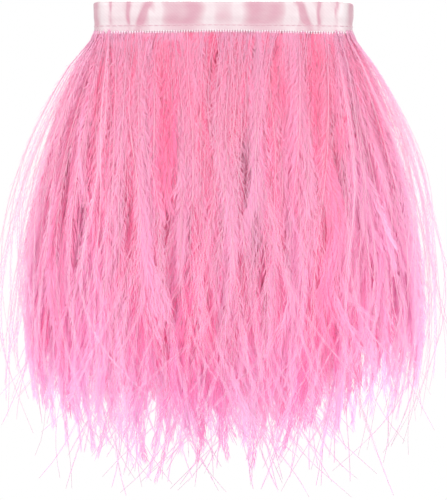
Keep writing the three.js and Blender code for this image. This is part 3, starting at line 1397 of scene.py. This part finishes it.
    def _barbs(self) -> tuple[np.ndarray, np.ndarray, np.ndarray]:
        """Set two rows of slender drooping barbs on each rib.

        Returns:
            Their points, map places and quads.
        """
        rng = self.rng
        per_side = np.maximum((self.length / self.barb_pitch).astype(int), 8)
        per_side = np.where(self.is_stray, (per_side * 0.5).astype(int), per_side)
        owner = np.repeat(np.arange(self.count), per_side * 2)
        total = len(owner)
        first = np.cumsum(per_side * 2) - per_side * 2
        place = (np.arange(total) - first[owner]) / (per_side * 2)[owner]
        bare_root = (self.bare_root / self.length)[owner]
        place = bare_root + (0.99 - bare_root) * place**1.2
        place = np.clip(place + rng.normal(0, 0.002, total), bare_root, 0.999)
        hand = np.where(np.arange(total) % 2, 1.0, -1.0)[:, None]
        spot = place * (self.stations - 1)
        low = spot.astype(int)
        part = (spot - low)[:, None]

        def at(values: np.ndarray) -> np.ndarray:
            """The values of the ribs' stations where the barbs grow."""
            return values[owner, low] * (1 - part) + values[owner, low + 1] * part

        base, flow, side, face, out = map(
            at, (self.line, self.flow, self.side, self.face, self.out)
        )
        stray = self.is_stray[owner]
        reach = self.length[owner] * place
        bare = np.where(stray, 1.0, 0.5) * rng.uniform(0.5, 1.0, self.count)[owner]
        grow = np.clip(reach / self.full_by, 10 * MM / (self.full_by + 5 * MM), 1)
        grow *= (1 - 0.9 * bare * place**3) * np.where(stray, self.stray_barb, 1)
        grow *= 1 - 0.4 * np.where(stray, 0, 1) * place**4
        long = self.barb * grow * rng.uniform(*self.barb_lengths, total)
        # A barb leaves its rib at an open angle and bends down before its middle.
        shut = 1 - np.where(stray, 0.85, 0.4) * place**1.5
        open_angle = rng.normal(self.opened, 0.16, total) * shut * np.where(stray, 1.3, 1.0)
        close_angle = open_angle * rng.uniform(0.1, 0.6, total)
        raise_by = rng.normal(0, 0.2, total)[:, None] * np.clip(reach / (9 * MM), 0, 1)[:, None]
        spread = hand * side * np.cos(raise_by) + face * np.sin(raise_by)
        cos, sin = np.cos(open_angle)[:, None], np.sin(open_angle)[:, None]
        away = flow * cos + spread * sin
        cos, sin = np.cos(close_angle)[:, None], np.sin(close_angle)[:, None]
        down = flow * cos + spread * sin
        middle = base + away * (self.barb_bend * long)[:, None]
        tip = middle + down * ((1 - self.barb_bend) * long)[:, None]
        # Its broad side faces out of the fringe.
        broad = np.cross(face, away)
        broad /= np.linalg.norm(broad, axis=1, keepdims=True)
        facing = np.cross(away, broad)
        broad *= np.where((facing * out).sum(1) > 0, 1.0, -1.0)[:, None]
        slim = np.where(stray, 0.6, 1.0)
        wide = rng.uniform(*self.barb_widths, total)
        half = (self.barb_width / 2 * slim * wide)[:, None]
        points = np.stack([base, middle - broad * half, tip, middle + broad * half], 1)
        shade = np.clip(self.shade[owner] + rng.normal(0, 0.06, total), 0.12, 1.0)
        shade = np.repeat(shade[:, None], 4, 1) + np.array([0.0, 0.01, 0.0, -0.01])
        rise = self._rise(reach)[:, None] + np.array([0.0, 0.01, 0.02, 0.015])
        maps = np.stack([np.clip(shade, 0.11, 1.0), np.clip(rise, 0, 1)], -1)
        quads = np.arange(total * 4).reshape(-1, 4)
        return points.reshape(-1, 3), maps.reshape(-1, 2), quads


# The inner rows' habit: coloured a deeper, less violet pink as painted shade, since they lie behind
# the outer row.
PACKED = {
    "barb_pitch": 1.3 * MM, "barb_width": 0.5 * MM, "short_share": 0.1, "stray_share": 0.05,
    "stations": 18, "tone_and_painted_light": 0.36, "paling": 0.75, "reach": 0.94,
}
# Round a bend: tufts coloured paler as painted light, so their sides, seen edge-on, look as lit as
# the front.
ROUND_A_BEND = {
    "flare": 7.5 * MM, "stray_share": 0.18, "tone_and_painted_light": 0.68, "twist": 0.6, "lean": 0.08,
    "full_by": 24 * MM, "opened": 0.44, "stray_barb": 0.5,
}


@dataclass
class Fringe:
    """All the plume tufts; the inner ones ride on the header's body."""

    winding: Winding
    finishes: Finishes
    outer_tufts: int = 6
    inner_tufts: int = 5
    end_tufts: int = 3
    flues_per_mm: float = 4.6
    middle_density: float = 0.44
    core_density: float = 0.26
    bend_tuft_mm: float = 26.0
    hinge_over: float = 0.2 * MM
    hinge_under: float = 6 * MM

    def build(self) -> list[bpy.types.Object]:
        """Grow every tuft.

        Returns:
            The pieces.
        """
        self.swell = Swell(self.winding)
        pieces = []
        for side in (Side.FRONT, Side.BACK):
            pieces += self._run(side, "outer", self.outer_tufts, 1.0)
            pieces += self._run(side, "middle", self.inner_tufts, self.middle_density)
            pieces += self._run(side, "core", self.inner_tufts, self.core_density)
        for side in (Side.LEFT, Side.RIGHT):
            pieces += self._bend(side)
        return pieces

    def _run(self, side: Side, row: str, count: int, density: float) -> list[bpy.types.Object]:
        """Grow the tufts of a straight run.

        Args:
            side: Front or back.
            row: "outer", "middle" or "core".
            count: How many tufts it has.
            density: Flues, as a share of the outer row's.

        Returns:
            The pieces.
        """
        half = self.winding.half_run
        edges = np.linspace(-half, half, count + 1)
        middle = "" if row == "outer" else f"{row}_"
        made = []
        for index in range(count):
            node = f"{side.value}_{middle}tuft_{index + 1}"
            cell = Cell(self.swell, row, side, edges[index], edges[index + 1])
            flues = int(cell.width_at_top() / MM * self.flues_per_mm * density)
            made.append(self._tuft(cell, node, flues, row == "outer"))
        return made

    def _bend(self, side: Side) -> list[bpy.types.Object]:
        """Grow the tufts round one bend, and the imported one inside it.

        Args:
            side: Left or right.

        Returns:
            The pieces.
        """
        edges = np.linspace(-math.pi / 2, math.pi / 2, self.end_tufts + 1)
        flues = int(self.bend_tuft_mm * self.flues_per_mm)
        made = []
        for index in range(self.end_tufts):
            node = f"{side.value}_tuft_{index + 1}"
            cell = Cell(self.swell, "outer", side, edges[index], edges[index + 1])
            made.append(self._tuft(cell, node, flues, True))
        core = Cell(self.swell, "middle", side, edges[0], edges[-1])
        made.append(self._tuft(core, f"{side.value}_end_core", flues, False))
        return made

    def _tuft(self, cell: Cell, node: str, count: int, moves: bool) -> bpy.types.Object:
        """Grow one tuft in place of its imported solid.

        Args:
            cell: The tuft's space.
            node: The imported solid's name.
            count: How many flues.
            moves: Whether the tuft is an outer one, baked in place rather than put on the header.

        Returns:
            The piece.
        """
        seed = sum((place + 1) * ord(letter) for place, letter in enumerate(node))
        bends = cell.side in (Side.LEFT, Side.RIGHT)
        habit = PACKED if not moves else ROUND_A_BEND if bends else {}
        piece = Flues(cell, node, count, seed, **habit).build(self.finishes)
        if moves:
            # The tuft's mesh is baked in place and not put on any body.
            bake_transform(piece)
        else:
            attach(piece, "header")
        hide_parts(node)
        return piece


# ---------------------------------------------------------------- the studio


@dataclass
class Studio:
    """A level camera square to the front, soft lights and a pale floor."""

    winding: Winding
    distance: float = 1.6
    view_height: float = 192.75 * MM
    top_margin: float = 0.5397 * MM
    sensor: float = 36.0
    room_light: float = 1.0
    aim: tuple = (0, 0, -0.08)
    floor_gap: float = 30 * MM
    floor_radius: float = 0.24
    floor_thick: float = 0.012
    floor_edge: float = 0.004

    def camera(self) -> None:
        """Set the camera first, so that the whole fringe fills its frame."""
        low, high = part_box("satin_ribbon")
        front = self.winding.middle_y - self.winding.outer_bend
        middle_z = self.winding.top + self.top_margin - self.view_height / 2
        data = bpy.data.cameras.new("camera")
        data.sensor_fit = "VERTICAL"
        data.sensor_height = self.sensor
        data.lens = self.sensor * self.distance / self.view_height
        data.clip_end = 20.0
        camera = bpy.data.objects.new("camera", data)
        camera.location = ((low.x + high.x) / 2, front - self.distance, middle_z)
        camera.rotation_euler = (math.pi / 2, 0.0, 0.0)
        bpy.context.scene.collection.objects.link(camera)
        bpy.context.scene.camera = camera

    def light(self, name: str, place: tuple, size: float, power: float) -> None:
        """Hang one soft box that faces the fringe.

        Args:
            name: Its name.
            place: Where it hangs.
            size: Its side.
            power: Its power in watts.
        """
        data = bpy.data.lights.new(name, "AREA")
        data.size = size
        data.energy = power
        lamp = bpy.data.objects.new(name, data)
        lamp.location = place
        aim = Vector(self.aim) - Vector(place)
        lamp.rotation_euler = aim.to_track_quat("-Z", "Y").to_euler()
        bpy.context.scene.collection.objects.link(lamp)

    def lights(self) -> None:
        """Light the fringe softly from the front, the sides and above, before a white room."""
        self.light("key", (-0.75, -1.2, 0.7), 0.7, 14.0)
        self.light("fill", (0.95, -1.0, 0.25), 0.8, 8.0)
        self.light("back", (0.3, 1.1, 0.5), 0.8, 10.0)
        world = bpy.data.worlds.new("room")
        world.use_nodes = True
        tree = world.node_tree
        room = tree.nodes["Background"]
        room.inputs["Color"].default_value = WHITE
        room.inputs["Strength"].default_value = self.room_light
        wall = tree.nodes.new("ShaderNodeBackground")
        wall.inputs["Color"].default_value = WHITE
        seen = tree.nodes.new("ShaderNodeLightPath")
        both = tree.nodes.new("ShaderNodeMixShader")
        tree.links.new(seen.outputs["Is Camera Ray"], both.inputs["Fac"])
        tree.links.new(room.outputs["Background"], both.inputs[1])
        tree.links.new(wall.outputs["Background"], both.inputs[2])
        tree.links.new(both.outputs["Shader"], tree.nodes["World Output"].inputs["Surface"])
        bpy.context.scene.world = world
        bpy.context.scene.view_settings.view_transform = "Standard"

    def floor(self) -> None:
        """Lay a pale round floor under the hanging fringe."""
        lowest = min(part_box(name)[0].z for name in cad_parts)
        deselect_all()
        bpy.ops.mesh.primitive_cylinder_add(
            vertices=96, radius=self.floor_radius, depth=self.floor_thick,
            location=(0, 0, lowest - self.floor_gap),
        )
        floor = take("floor")
        apply_modifier(floor, "BEVEL", width=self.floor_edge, segments=3)
        bench = NodeBench("floor")
        shader = bench.add(
            "ShaderNodeBsdfPrincipled", Roughness=0.8, Base_Color=display_colour(246, 244, 245)
        )
        floor.data.materials.append(bench.surface(shader))


def main() -> None:
    """Build the trim in order: camera, header, fringe, then the studio round it."""
    logging.basicConfig(level=logging.INFO, format="%(message)s")
    winding = Winding()
    studio = Studio(winding)
    studio.camera()
    finishes = Finishes()
    for assembly in (Header(winding, finishes), Fringe(winding, finishes)):
        for piece in assembly.build():
            log.info("%s: %d faces", piece.name, len(piece.data.polygons))
    studio.lights()
    studio.floor()


if __name__ == "__main__":
    main()
